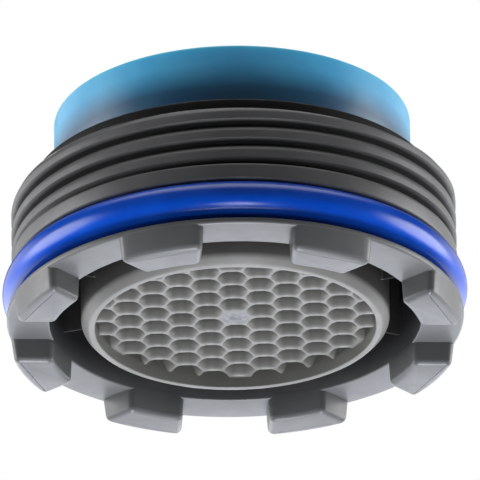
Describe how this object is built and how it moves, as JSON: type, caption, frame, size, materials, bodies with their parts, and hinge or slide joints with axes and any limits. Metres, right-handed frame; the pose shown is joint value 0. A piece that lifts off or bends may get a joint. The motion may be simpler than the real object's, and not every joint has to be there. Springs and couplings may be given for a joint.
{
  "type": "tap aerator",
  "caption": "Recessed tap aerator: threaded grey housing with castellated key ring, blue seal ring, honeycomb outlet insert and light-blue inlet strainer.",
  "frame": {"origin": "on the thread axis, in the plane of the key tooth bottoms", "axes": "+Z along the thread axis towards the inlet strainer; key notches are centred on the X and Y axes"},
  "size_m": [0.0222, 0.0222, 0.0117],
  "materials": {
    "housing_plastic": "satin moulded grey plastic",
    "seal_rubber": "smooth royal-blue rubber",
    "insert_plastic": "satin moulded warm-grey plastic",
    "inner_plastic": "satin moulded pale-grey plastic",
    "regulator_rubber": "matt black rubber",
    "strainer_plastic": "glossy light-blue plastic",
    "washer_rubber": "matt black rubber"
  },
  "bodies": {
    "root": {"housing": "housing_plastic", "o_ring": "seal_rubber", "insert_casing": "insert_plastic", "lower_mixing_grid": "inner_plastic", "upper_mixing_grid": "inner_plastic", "jet_diffuser": "inner_plastic", "regulator_body": "inner_plastic", "regulator_ring": "regulator_rubber", "strainer": "strainer_plastic", "top_washer": "washer_rubber"}
  },
  "joints": []
}
